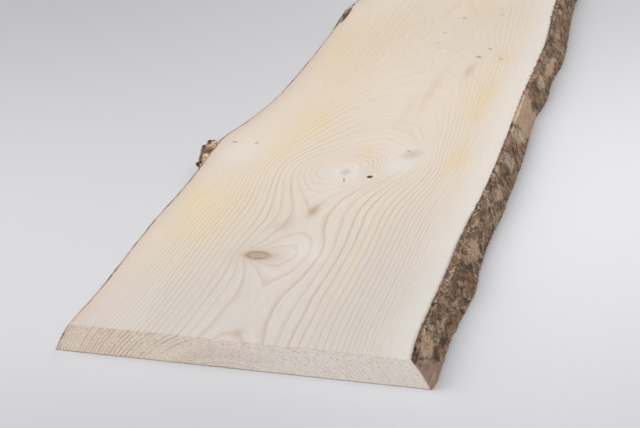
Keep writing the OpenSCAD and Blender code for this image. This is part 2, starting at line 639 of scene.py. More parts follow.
STAINS = (
    *stains(Tint.YELLOW, (-117, 300, 42, 125, 0.85), (-147, 352, 14, 40, 0.6),
            (-79, 625, 30, 85, 0.8), (-80, 880, 46, 170, 0.5), (92, 830, 26, 150, 0.35),
            (-93, 500, 14, 60, 0.5), (-124, 930, 20, 130, 0.9), (65, 200, 4, 120, 0.4),
            (111, 535, 10, 60, 0.95), (107, 745, 10, 80, 1.1), (122, 545, 14, 34, 0.5),
            (77, 535, 6, 12, 0.6), (7, 535, 13, 32, 0.6), (105, 940, 12, 26, 0.8),
            (39, 1160, 60, 60, 0.5), (-61, 1040, 50, 90, 0.4), (59, 1560, 50, 160, 0.5),
            (-71, 1720, 24, 180, 0.5)),
    *stains(Tint.BROWN, (-10, 338, 5, 16, 0.8), (70, 872, 6, 34, 0.35), (-4, 20, 5, 10, 0.35),
            (-32, 205, 26, 22, 0.28), (37, 780, 6, 90, 0.2), (22, 700, 6, 80, 0.12),
            (-31, 288, 12, 18, 0.2)),
    *stains(Tint.PALE, (-5, 462, 22, 26, 0.9), (51, 495, 18, 26, 0.7), (57, 540, 26, 40, 0.5),
            (-141, 500, 20, 40, 0.5), (9, 225, 18, 26, 0.5), (-9, 400, 18, 26, 0.4)),
)


# ---------------------------------------------------------------- finishes

class Graph:
    """A material's node tree, with short calls for the nodes that the finishes share."""

    # Share of a ring's width at which its late wood is darkest, and from which it ends
    darkest = 0.93
    drop_from = 0.95

    def __init__(self, name: str) -> None:
        """Start a material with one Principled surface.

        Args:
            name: the material's name.
        """
        self.material = bpy.data.materials.new(name)
        self.material.use_nodes = True
        self.tree = self.material.node_tree
        self.surface = self.tree.nodes["Principled BSDF"]

    def add(self, kind: str, inputs: dict | None = None, **settings: object) -> bpy.types.Node:
        """Add a node, set its properties, and feed its inputs.

        Args:
            kind: the node's type, without its prefix.
            inputs: a socket or a plain value for each named or numbered input.
            settings: values of the node's own properties.

        Returns:
            The node.
        """
        node = self.tree.nodes.new("ShaderNode" + kind)
        for key, value in settings.items():
            setattr(node, key, value)
        for key, value in (inputs or {}).items():
            self.feed(node.inputs[key], value)
        return node

    def feed(self, target: Socket, value: object) -> None:
        """Lead a socket to an input, or set the input's own value.

        Args:
            target: the input.
            value: a socket, a number, a vector, or a colour without its fourth number.
        """
        if isinstance(value, Socket):
            self.tree.links.new(value, target)
        elif target.type == "RGBA":
            target.default_value = (*value, 1.0)
        else:
            target.default_value = value

    def place(self) -> Socket:
        """Return the place on the object, in metres."""
        return self.add("TexCoord").outputs["Object"]

    def number(self, name: str) -> Socket:
        """Return a number stored at the piece's points."""
        return self.add("Attribute", attribute_name=name).outputs["Fac"]

    def triple(self, name: str) -> tuple[Socket, ...]:
        """Return the three numbers stored at the piece's points."""
        vector = self.add("Attribute", attribute_name=name).outputs["Vector"]
        return tuple(self.add("SeparateXYZ", {0: vector}).outputs)

    def maths(self, operation: str, a: object, b: object = 0.0) -> Socket:
        """Return one sum, product or other operation on two numbers."""
        return self.add("Math", {0: a, 1: b}, operation=operation).outputs[0]

    def times(self, a: object, b: object) -> Socket:
        """Return the product of two numbers."""
        return self.maths("MULTIPLY", a, b)

    def total(self, *parts: tuple[float, Socket]) -> Socket:
        """Add numbers up, each times its weight.

        Args:
            parts: a weight and a number for each part.

        Returns:
            The weighted sum.
        """
        terms = [self.times(value, weight) for weight, value in parts]
        result = terms[0]
        for term in terms[1:]:
            result = self.maths("ADD", result, term)
        return result

    def swing(self, noise: Socket, width: float) -> Socket:
        """Return noise from 0 to 1 turned into a swing of the given full width around 0."""
        return self.times(self.maths("SUBTRACT", noise, 0.5), width)

    def step(self, value: object, start: float, end: float, low: float = 0.0,
             high: float = 1.0) -> Socket:
        """Return a smooth step from low to high as the value goes from start to end."""
        inputs = {"Value": value, "From Min": start, "From Max": end, "To Min": low, "To Max": high}
        return self.add("MapRange", inputs, interpolation_type="SMOOTHSTEP").outputs["Result"]

    def noise(self, place: Socket, stretch: Triple, detail: float = 3.0,
              rough: float = 0.55) -> Socket:
        """Layer noises, each twice as fine as the last.

        Args:
            place: where on the piece.
            stretch: how many times the noise repeats in each unit of the place, three ways.
            detail: how many finer noises are added.
            rough: strength of each as a share of the coarser one.

        Returns:
            A number from 0 to 1.
        """
        wide = self.add("VectorMath", {0: place, 1: stretch}, operation="MULTIPLY").outputs[0]
        inputs = {"Vector": wide, "Scale": 1.0, "Detail": detail, "Roughness": rough}
        return self.add("TexNoise", inputs).outputs["Fac"]

    def blend(self, share: object, a: object, b: object, mode: str = "MIX") -> Socket:
        """Return a colour that goes from a to b by the share, or by a blend mode."""
        return self.add("Mix", {0: share, 6: a, 7: b}, data_type="RGBA", blend_type=mode,
                        clamp_factor=True).outputs[2]

    def ramp(self, value: Socket, stops: Sequence[tuple[float, Colour]]) -> Socket:
        """Pick a colour from a row of stops.

        Args:
            value: where along the row, from 0 to 1.
            stops: the position and the colour of each stop.

        Returns:
            The colour.
        """
        node = self.add("ValToRGB", {0: value})
        elements = node.color_ramp.elements
        while len(elements) < len(stops):
            elements.new(0.5)
        for element, (position, colour) in zip(elements, stops):
            element.position = position
            element.color = (*colour, 1.0)
        return node.outputs["Color"]

    def late_wood(self, count: Socket, start: float, power: float, weakest: float) -> Socket:
        """Darken the late wood of each ring: it builds up over the outer part of the ring and
        ends sharply, and no two rings are as dark.

        Args:
            count: how many rings lie inside.
            start: share of a ring's width where its late wood begins.
            power: how late in that part it darkens.
            weakest: darkness of the faintest ring.

        Returns:
            The darkness from 0 to 1.
        """
        share = self.maths("FRACT", count)
        rise = self.maths("POWER", self.step(share, start, self.darkest), power)
        line = self.times(rise, self.step(share, 1.0, self.drop_from))
        own = self.add("TexWhiteNoise", {"W": self.maths("FLOOR", count)},
                       noise_dimensions="1D").outputs["Value"]
        return self.times(line, self.step(own, 0.0, 1.0, weakest, 1.0))

    def dress(self, colour: object, roughness: object, height: object = None,
              relief: float = 0.0, strength: float = 1.0) -> bpy.types.Material:
        """Set the surface.

        Args:
            colour: a colour or a socket.
            roughness: a number or a socket.
            height: relief from 0 to 1, or nothing.
            relief: how high a height of 1 stands, in metres.
            strength: how much of the relief shows.

        Returns:
            The material.
        """
        self.feed(self.surface.inputs["Base Color"], colour)
        self.feed(self.surface.inputs["Roughness"], roughness)
        if height is not None:
            inputs = {"Height": height, "Distance": relief, "Strength": strength}
            raised = self.add("Bump", inputs).outputs["Normal"]
            self.feed(self.surface.inputs["Normal"], raised)
        return self.material


@dataclass(frozen=True)
class KnotLook:
    """Colours of one kind of knot, as stops over its radius, and where it fades into wood.

    The knot is solid up to one share of its radius and gone from another, and strength is how
    much of the wood it hides.
    """

    stops: tuple[tuple[float, Colour], ...]
    solid: float
    gone: float
    strength: float = 1.0


KNOT_LOOKS = {
    KnotKind.RED: KnotLook(((0.0, (0.40, 0.27, 0.18)), (0.16, (0.50, 0.35, 0.25)),
                            (0.28, (0.42, 0.27, 0.20)), (0.36, (0.34, 0.21, 0.16)),
                            (0.46, (0.50, 0.37, 0.31)), (0.62, (0.60, 0.49, 0.42))),
                           solid=0.36, gone=0.85, strength=0.9),
    KnotKind.GREY: KnotLook(((0.0, (0.46, 0.34, 0.28)), (0.10, (0.56, 0.47, 0.41)),
                             (0.55, (0.61, 0.53, 0.48))), solid=0.15, gone=0.66, strength=0.75),
    KnotKind.FAINT: KnotLook(((0.0, (0.24, 0.18, 0.14)), (0.20, (0.40, 0.32, 0.25)),
                              (0.36, (0.66, 0.58, 0.50))), solid=0.22, gone=0.60, strength=0.75),
    KnotKind.PIN: KnotLook(((0.0, (0.03, 0.022, 0.018)), (0.40, (0.05, 0.035, 0.03)),
                            (0.55, (0.34, 0.27, 0.22))), solid=0.42, gone=0.62),
    KnotKind.RESIN: KnotLook(((0.0, (0.50, 0.38, 0.20)), (0.40, (0.62, 0.50, 0.30))),
                             solid=0.20, gone=0.65, strength=0.7),
    KnotKind.CHIP: KnotLook(((0.0, (0.045, 0.024, 0.018)), (0.25, (0.10, 0.06, 0.045)),
                             (0.50, (0.22, 0.15, 0.11))), solid=0.42, gone=0.58),
}


@dataclass(frozen=True)
class SawnWood:
    """Pale sawn softwood: rings with darker late wood, fibres, tints, knots and saw marks."""

    name: str = "sawn_wood"
    # Early wood at the butt end, darker there partly as painted shade
    early: Colour = (0.648, 0.588, 0.532)
    # Early wood further from the butt end, warmer and out of that painted shade
    warm: Colour = (0.745, 0.636, 0.537)
    late: Colour = (0.550, 0.450, 0.355)
    yellow: Colour = (0.745, 0.603, 0.402)
    brown: Colour = (0.430, 0.270, 0.150)
    pale: Colour = (0.745, 0.705, 0.655)
    skin: Colour = (0.640, 0.520, 0.430)
    # Late wood in the yellow stains
    amber: Colour = (0.575, 0.405, 0.212)
    bark: Colour = (0.100, 0.065, 0.045)
    # Share of a ring where its late wood begins
    late_from: float = 0.45
    # Where the warmer, lighter wood begins and is complete, along the board from its middle; the
    # darker wood towards the butt end is partly painted shade
    warm_from: float = -0.95
    warm_to: float = -0.45
    # How far the rings sway, as a share of a ring, and how ragged the knots' outlines are
    sway: float = 0.22
    knot_ragged: float = 0.22
    roughness: float = 0.62
    relief: float = 0.00035

    def rings(self, graph: Graph, clarity: object, dense: object) -> Socket:
        """Draw the late wood, with false rings between where it is dense.

        Args:
            graph: the finish's node tree.
            clarity: how clearly the rings show.
            dense: share of false rings.

        Returns:
            The darkness of the late wood.
        """
        sway = graph.swing(graph.noise(graph.place(), (70, 9, 70)), self.sway)
        count = graph.maths("ADD", graph.number("ring"), sway)
        single = graph.late_wood(count, self.late_from, power=2.2, weakest=0.55)
        double = graph.late_wood(graph.times(count, 2.0), start=0.2, power=1.5, weakest=0.4)
        line = graph.add("Mix", {0: dense, 2: single, 3: double}, data_type="FLOAT").outputs[0]
        fade = graph.noise(graph.place(), (22, 3.5, 22), detail=2)
        line = graph.times(line, graph.step(fade, 0.25, 0.70, 0.6, 1.0))
        return graph.times(line, clarity)

    def knots(self, graph: Graph, colour: Socket, datum: Datum) -> Socket:
        """Lay every knot over the colour: each is an ellipse with a ragged outline.

        Args:
            graph: the finish's node tree.
            colour: the wood around the knots.
            datum: where places are counted from.

        Returns:
            The colour with the knots.
        """
        place = graph.place()
        ragged = graph.noise(place, (260, 260, 260))
        for kind, look in KNOT_LOOKS.items():
            nearest = None
            for knot in (knot for knot in KNOTS if knot.kind is kind):
                spot = (datum.axis + knot.x * MM, datum.butt + knot.station * MM, 0.0)
                at = {"Vector": place, "Location": spot,
                      "Rotation": (0, 0, math.radians(knot.turn)),
                      "Scale": (knot.width * MM, knot.length * MM, 1.0)}
                local = graph.add("Mapping", at, vector_type="TEXTURE").outputs["Vector"]
                gap = graph.add("VectorMath", {0: local}, operation="LENGTH").outputs["Value"]
                nearest = gap if nearest is None else graph.maths("MINIMUM", nearest, gap)
            radius = graph.maths("ADD", nearest, graph.swing(ragged, self.knot_ragged))
            mask = graph.step(radius, look.solid, look.gone, look.strength, 0.0)
            colour = graph.blend(mask, colour, graph.ramp(radius, look.stops))
        return colour

    def stained(self, graph: Graph, line: Socket, cloud: Socket, skin: Socket) -> Socket:
        """Colour the wood by its rings and its tints.

        Args:
            graph: the finish's node tree.
            line: darkness of the late wood.
            cloud: slow noise that makes the yellow uneven.
            skin: share of wood darkened under the bark.

        Returns:
            The colour.
        """
        yellow, brown, pale = graph.triple("tint")
        grain = graph.add("SeparateXYZ", {0: graph.place()}).outputs[1]
        # Darker towards the butt end, partly as painted shade, and warmer further along
        early = graph.blend(graph.step(grain, self.warm_from, self.warm_to), self.early, self.warm)
        share = graph.times(yellow, graph.step(cloud, 0.2, 0.75, 0.5, 1.0))
        colour = graph.blend(share, early, self.yellow)
        colour = graph.blend(line, colour, graph.blend(yellow, self.late, self.amber))
        for share, tint in ((brown, self.brown), (pale, self.pale), (skin, self.skin)):
            colour = graph.blend(share, colour, tint)
        return colour

    def specked(self, graph: Graph, colour: Socket, rim: Socket) -> Socket:
        """Leave specks of bark in a strip along the right arris, wider beyond the first part of
        the board.

        Args:
            graph: the finish's node tree.
            colour: the wood without specks.
            rim: distance from the right edge, in millimetres.

        Returns:
            The colour with specks.
        """
        grain = graph.add("SeparateXYZ", {0: graph.place()}).outputs[1]
        flakes = graph.noise(graph.place(), (260, 120, 260), rough=0.7)
        reach = graph.step(grain, -0.30, -0.15, 1.4, 3.4)
        gap = graph.maths("SUBTRACT", rim, graph.times(graph.step(flakes, 0.45, 0.75), reach))
        return graph.blend(graph.step(gap, 0.5, 0.1, 0.0, 0.8), colour, self.bark)

    def material(self, datum: Datum) -> bpy.types.Material:
        """Build the finish: wood by the rings and tints, then fibres, knots and specks of bark.

        Args:
            datum: where the knots' places are counted from.

        Returns:
            The material.
        """
        graph = Graph(self.name)
        place = graph.place()
        clarity, skin, rim = graph.triple("margin")
        line = self.rings(graph, clarity, graph.number("dense"))
        cloud = graph.noise(place, (9, 2.2, 9))
        colour = self.stained(graph, line, cloud, skin)
        # Streaks that follow the rings, and short fibres, vary the tone by a few hundredths
        grain = graph.add("SeparateXYZ", {0: place}).outputs[1]
        ring_place = graph.add("CombineXYZ", {0: graph.number("ring"), 1: grain}).outputs[0]
        streak = graph.noise(ring_place, (5.0, 16.0, 1.0), detail=4, rough=0.65)
        fibre = graph.noise(place, (900, 45, 900), rough=0.6)
        tone = graph.maths("ADD", graph.step(streak, 0.25, 0.8, 0.955, 1.035),
                           graph.step(fibre, 0.2, 0.8, -0.035, 0.035))
        tone = graph.times(tone, graph.step(cloud, 0.25, 0.75, 0.96, 1.03))
        grey = graph.add("CombineColor", {0: tone, 1: tone, 2: tone}).outputs[0]
        colour = graph.blend(1.0, colour, grey, "MULTIPLY")
        colour = self.specked(graph, self.knots(graph, colour, datum), rim)
        # Relief: fibres stand up, the saw's marks run across, and hard late wood lies low
        marks = graph.noise(place, (14, 640, 14), detail=2)
        height = graph.total((0.5, fibre), (0.25, marks), (-0.2, line))
        return graph.dress(colour, self.roughness, height, self.relief, strength=0.5)


@dataclass(frozen=True)
class EndGrain:
    """Cross-cut wood: the same rings end on, torn and furry from the saw, and warmer."""

    name: str = "end_grain"
    early: Colour = (0.760, 0.635, 0.520)
    late: Colour = (0.400, 0.285, 0.190)
    pale: Colour = (0.790, 0.735, 0.695)
    # The lower arris, darkened by a painted contact shadow where it meets the ground
    contact_shade: Colour = (0.200, 0.150, 0.110)
    # How far the rings sway, as a share of a ring
    sway: float = 0.35
    roughness: float = 0.85
    relief: float = 0.0016

    def material(self) -> bpy.types.Material:
        """Build the finish: rings, fur torn by the saw, and a painted contact shadow along the lower
        arris.

        Returns:
            The material.
        """
        graph = Graph(self.name)
        place = graph.place()
        sway = graph.swing(graph.noise(place, (160, 160, 160)), self.sway)
        count = graph.maths("ADD", graph.number("ring"), sway)
        line = graph.late_wood(count, start=0.30, power=1.0, weakest=0.35)
        cloud = graph.noise(place, (16, 16, 40))
        fur = graph.noise(place, (330, 500, 560), rough=0.7)
        line = graph.times(line, graph.step(cloud, 0.3, 0.65, 0.35, 1.0))
        colour = graph.blend(line, self.early, self.late)
        # Paler towards the right, then pale and dark fur, then the painted contact shadow on the
        # lower arris
        side, _, above = graph.add("SeparateXYZ", {0: place}).outputs
        lean = graph.maths("ADD", side, graph.times(cloud, 0.10))
        colour = graph.blend(graph.step(lean, -0.08, 0.11, 0.0, 0.70), colour, self.pale)
        colour = graph.blend(graph.step(fur, 0.50, 0.66, 0.0, 0.60), colour, self.pale)
        colour = graph.blend(graph.step(fur, 0.50, 0.32, 0.0, 0.42), colour, self.late)
        # Painted contact shadow, darkest at the very bottom of the end
        colour = graph.blend(graph.step(above, 0.0002, 0.0012, 0.8, 0.0), colour, self.contact_shade)
        height = graph.total((0.6, fur), (0.4, line))
        return graph.dress(colour, self.roughness, height, self.relief, strength=0.8)


@dataclass(frozen=True)
class Bark:
    """Flaky bark: grey-brown scales, dark crevices between them, and bare tan patches."""

    name: str = "flaky_bark"
    dark: Colour = (0.042, 0.023, 0.014)
    brown: Colour = (0.295, 0.182, 0.117)
    light: Colour = (0.540, 0.375, 0.245)
    tip: Colour = (0.780, 0.625, 0.450)
    tan: Colour = (0.690, 0.480, 0.325)
    cream: Colour = (0.930, 0.755, 0.560)
    red: Colour = (0.345, 0.148, 0.088)
    # Where the crust has come away
    bared: Colour = (0.520, 0.345, 0.260)
    # How much lighter than its own colour the tan gets in its lightest fibres
    tan_lift: float = 1.3
    roughness: float = 0.9
    relief: float = 0.0012

    def material(self) -> bpy.types.Material:
        """Build the finish: a ramp of crust colours, then what shows where the crust is gone,
        then the crevices, and the dark crust and painted shade.

        Returns:
            The material.
        """
        graph = Graph(self.name)
        place = graph.place()
        pit, scale, dark_crust_and_shade = graph.triple("scale")
        tan, cream, red = graph.triple("patch")
        flow = graph.triple("flow")
        run = graph.add("CombineXYZ", {0: flow[0], 1: flow[1]}).outputs[0]
        fibre = graph.noise(run, (1.1, 0.13, 1.0), detail=4, rough=0.7)
        speck = graph.noise(place, (800, 560, 800), rough=0.7)
        cloud = graph.noise(place, (60, 26, 60), detail=4, rough=0.6)
        hue = graph.noise(place, (90, 34, 90), detail=2)
        # The crust, from its dark hollows to its light tips
        level = graph.total((0.20, scale), (0.52, fibre), (0.52, speck), (0.12, cloud))
        level = graph.maths("SUBTRACT", level, 0.075)
        colour = graph.ramp(level, ((0.46, self.dark), (0.57, self.brown), (0.69, self.light),
                                    (0.80, self.tip)))
        # How far each other layer shows through it
        ruddy = graph.maths("MAXIMUM", graph.times(red, graph.step(fibre, 0.30, 0.70)),
                            graph.step(hue, 0.50, 0.72, 0.0, 0.45))
        bared = graph.times(flow[2], graph.step(level, 0.40, 0.66, 0.45, 1.0))
        mottle = graph.total((0.5, fibre), (0.5, speck))
        lit_tan = tuple(self.tan_lift * part for part in self.tan)
        bare = graph.ramp(mottle, ((0.40, self.brown), (0.47, self.tan), (0.60, lit_tan)))
        worn = graph.times(tan, graph.step(level, 0.40, 0.60, 0.35, 1.0))
        peeled = graph.times(cream, graph.step(mottle, 0.44, 0.53))
        crevice = graph.times(pit, 0.85)
        # Dark crust patches and painted shade on the sawn band, both laid in the dark colour
        shaded = graph.times(dark_crust_and_shade, 0.8)
        for share, tone in ((ruddy, self.red), (bared, self.bared), (worn, bare),
                            (peeled, self.cream), (crevice, self.dark), (shaded, self.dark)):
            colour = graph.blend(share, colour, tone)
        return graph.dress(colour, self.roughness, mottle, self.relief, strength=0.9)


# ---------------------------------------------------------------- pieces of the board

@dataclass
class Plank:
    """The sawn wood: a closed block between its two natural edges, with its rings stored."""

    datum: Datum
    rings: RingField = field(default_factory=RingField)
    node: str = "board"
    # Cells across and up
    columns: int = 112
    levels: int = 4
    # How much closer together the columns stand near the edges
    crowding: float = 0.20
    # Furthest station of each stretch and the step between cross-sections there
    stretches: tuple[Pair, ...] = ((0.010, 0.002), (0.660, 0.0034), (2.0, 0.0072))
    # How far the saw tore the arrises at the ends and the face
    torn_end: float = 0.0012
    torn_face: float = 0.00025
    # Reach of the pale sapwood in from the right edge, and its strength
    sapwood_reach: float = 28.0
    sapwood_strength: float = 0.75
    # Where false rings stand between the true ones: place, reach, and strength at the middle
    dense_at: Pair = (28.0, 478.0)
    dense_reach: Pair = (34.0, 52.0)
    dense_strength: float = 1.6

    def shape(self, across: Array, y: Array, z: Array) -> Array:
        """Place points whose x goes by share from the low edge to the high one. The cut ends and
        the upper arrises are torn back by fine noise.

        Args:
            across: share of the way across.
            y: place along the board, in metres.
            z: height, in metres.

        Returns:
            The points.
        """
        low = self.edges.at(Flank.LOW_X, y, z)
        high = self.edges.at(Flank.HIGH_X, y, z)
        x = low + (high - low) * across
        end = np.isclose(np.abs(y), self.half) * self.torn_end
        tear = 0.5 + 0.5 * Noise(3).layers(x / 0.0022, z / 0.0035 + 9, 2)
        corner = ease(z, self.top - 0.006, self.top)
        back = end * np.clip(tear * (0.35 + 0.65 * corner), 0, 1)
        rough = 0.5 + 0.5 * Noise(4).layers(x / 0.004, y / 0.005, 2)
        drop = np.isclose(z, self.top) * self.torn_face * np.clip(rough, 0, 1)
        return np.stack([x, y - np.sign(y) * back, z - drop], -1)

    def build(self) -> bpy.types.Object:
        """Build the wood, store its patterns and dress it.

        Returns:
            The piece.
        """
        low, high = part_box(self.node)
        self.half, self.top = high.y, high.z
        self.edges = EdgeLines(self.node)
        wave = np.linspace(-1, 1, self.columns + 1)
        across = 0.5 + 0.5 * ((1 - self.crowding) * wave + self.crowding * wave**3)
        along = spaced(0, high.y - low.y, self.stretches) + low.y
        up = np.linspace(low.z, high.z, self.levels + 1)
        block = Block("timber_board", across, along, up, self.shape, end_material=1)
        piece = block.build(width=high.x - low.x, height=high.z - low.z)
        self.store(piece, block)
        piece.data.materials.append(SawnWood().material(self.datum))
        piece.data.materials.append(EndGrain().material())
        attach(piece, "root")
        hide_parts(self.node)
        return piece

    def store(self, piece: bpy.types.Object, block: Block) -> None:
        """Store the ring number, the tints and the margins at each point.

        Args:
            piece: the finished wood.
            block: the block that it was built from.
        """
        share, y, z = block.grid
        left = (self.datum.axis - self.edges.at(Flank.LOW_X, y, z)) / MM
        right = (self.edges.at(Flank.HIGH_X, y, z) - self.datum.axis) / MM
        x = (left + right) * share - left
        s = (y - self.datum.butt) / MM
        radius = self.rings.radius(x, s, (self.top - z) / MM, np.where(x < 0, left, right))
        add_number(piece, "ring", self.rings.number(radius))
        sapwood = np.exp(-((right - x) / self.sapwood_reach) ** 2)
        add_triple(piece, "tint", self.tints(x, s, sapwood))
        clarity = self.clarity(x, s, sapwood)
        add_triple(piece, "margin", [clarity, self.skin(left + x, right - x), right - x])
        dense = self.dense_strength * bump(x, s, self.dense_at, self.dense_reach)
        add_number(piece, "dense", np.clip(dense, 0, 1))

    def tints(self, x: Array, s: Array, sapwood: Array) -> list[Array]:
        """Work out the tints: each stain is a soft mound, the sapwood is pale, and the butt's
        arris is browned by ragged noise.

        Args:
            x: distance from the axis.
            s: station.
            sapwood: share of sapwood at each point.

        Returns:
            The strength of each tint from 0 to 1, in the order of Tint.
        """
        found = {tint: np.zeros(len(x)) for tint in Tint}
        for stain in STAINS:
            mound = bump(x, s, (stain.x, stain.station), (stain.across, stain.along))
            found[stain.tint] += stain.strength * mound
        found[Tint.PALE] += self.sapwood_strength * sapwood
        ragged = np.clip(0.4 + Noise(6).layers(x / 6, s / 3, 3), 0, 1)
        found[Tint.BROWN] += 0.35 * ragged * ease(s, 5, 0)
        return [np.clip(values, 0, 1) for values in found.values()]

    def clarity(self, x: Array, s: Array, sapwood: Array) -> Array:
        """Work out how clearly the rings show: a product of shares, one for each reason.

        Args:
            x: distance from the axis.
            s: station.
            sapwood: share of sapwood at each point.

        Returns:
            The clarity from 0 to 1.
        """
        # In two steps past the near whorl, and in the sapwood
        clear = 1 - 0.30 * ease(s, 470, 560) - 0.25 * ease(s, 590, 720) - 0.45 * sapwood
        # Beside the scab on the left edge
        clear *= 1 - 0.5 * bump(x, s, (-130, 540), (40, 130))
        # In the heart past that whorl, and further on everywhere but near the right edge
        clear *= 1 - 0.65 * ease(s, 510, 570) * ease(x, -60, -20) * ease(x, 92, 66)
        clear *= 1 - 0.35 * ease(s, 620, 720) * ease(x, 92, 66)
        # Around the grey knot on the axis
        clear *= 1 - 0.7 * bump(x, s, (-5, 462), (24, 34))
        return np.clip(clear, 0, 1)

    def skin(self, to_left: Array, to_right: Array) -> Array:
        """Work out how much the wood is darkened under the bark, which fades with the distance
        from each edge by exp(-(distance/reach)^2).

        Args:
            to_left: distance from the left edge.
            to_right: distance from the right edge.

        Returns:
            The share of darkened wood from 0 to 1.
        """
        skin = 0.55 * np.exp(-((to_left / 9) ** 2)) + 0.25 * np.exp(-((to_left / 24) ** 2))
        skin += 0.5 * np.exp(-((to_right / 1.4) ** 2))
        return np.clip(skin, 0, 1)


class BarkTone(Enum):
    """What shows through in a patch of the bark."""

    TAN = 0
    CREAM = 1
    RED = 2
    DARK = 3


@dataclass(frozen=True)
class BarkPatch:
    """A patch of one tone: station and way round the edge, its reaches, and its strength."""

    tone: BarkTone
    station: float
    round_at: float
    along: float
    around: float
    strength: float


def spots(tone: BarkTone, *places: tuple[float, ...]) -> tuple[BarkPatch, ...]:
    """Return patches of one tone, each from its place, its reaches and its strength."""
    return tuple(BarkPatch(tone, *place) for place in places)


def tone_fields(patches: Sequence[BarkPatch], s: Array, t: Array, ragged: Array,
                start: float = 0.28, full: float = 0.62) -> dict[str, Array]:
    """Work out how strongly each tone shows: soft patches with ragged borders.

    Args:
        patches: the patches to lay.
        s: station.
        t: way round the edge.
        ragged: noise around 1 that breaks the borders up.
        start: height of a patch's mound where it begins to show.
        full: height from which it shows fully.

    Returns:
        The strength from 0 to 1, by the tone's name.
    """
    found = {tone.name: np.zeros(s.shape) for tone in BarkTone}
    for patch in patches:
        mound = bump(s, t, (patch.station, patch.round_at), (patch.along, patch.around))
        found[patch.tone.name] = np.maximum(found[patch.tone.name],
                                            patch.strength * mound * ragged)
    return {name: ease(value, start, full) for name, value in found.items()}


RIGHT_PATCHES = (
    *spots(BarkTone.TAN, (14, 32, 20, 4, 0.62), (46, 14, 24, 8, 1.3), (110, 20, 30, 6, 0.5),
           (165, 22, 30, 6, 0.5), (300, 21, 32, 10, 0.9), (360, 10, 26, 6, 0.5),
           (470, 19, 30, 9, 0.8), (655, 14, 24, 12, 1.0), (742, 16, 52, 40, 1.7),
           (955, 22, 50, 7, 1.0), (1100, 16, 50, 10, 0.5), (1420, 20, 80, 12, 0.8),
           (1780, 18, 60, 14, 0.8)),
    *spots(BarkTone.CREAM, (566, 17, 20, 10, 1.3), (672, 22, 16, 9, 1.0), (880, 18, 22, 7, 1.1),
           (420, 10, 14, 6, 0.6), (75, 12, 30, 8, 0.45), (330, 8, 30, 6, 0.45),
           (1200, 11, 9, 3, 1.2), (1640, 16, 24, 8, 0.8)),
    *spots(BarkTone.RED, (40, 9, 16, 3, 0.8), (66, 28, 14, 5, 0.8), (130, 12, 26, 8, 0.6),
           (190, 14, 24, 9, 0.6), (228, 28, 22, 8, 1.1), (610, 9, 26, 7, 0.9),
           (985, 14, 24, 12, 0.8), (830, 16, 34, 20, 0.6), (1180, 20, 80, 20, 0.5)),
    *spots(BarkTone.DARK, (1, 3, 5, 2.2, 1.3), (14, 5.5, 12, 2.4, 1.4), (7, 12, 3, 1.6, 1.1),
           (54, 28, 8, 5, 1.0), (256, 26, 10, 5, 1.2), (400, 12, 60, 12, 0.4),
           (522, 22, 20, 12, 0.6), (606, 20, 12, 14, 0.6), (796, 25, 16, 8, 0.9),
           (846, 16, 20, 24, 0.45), (1040, 8, 40, 8, 0.6)),
)


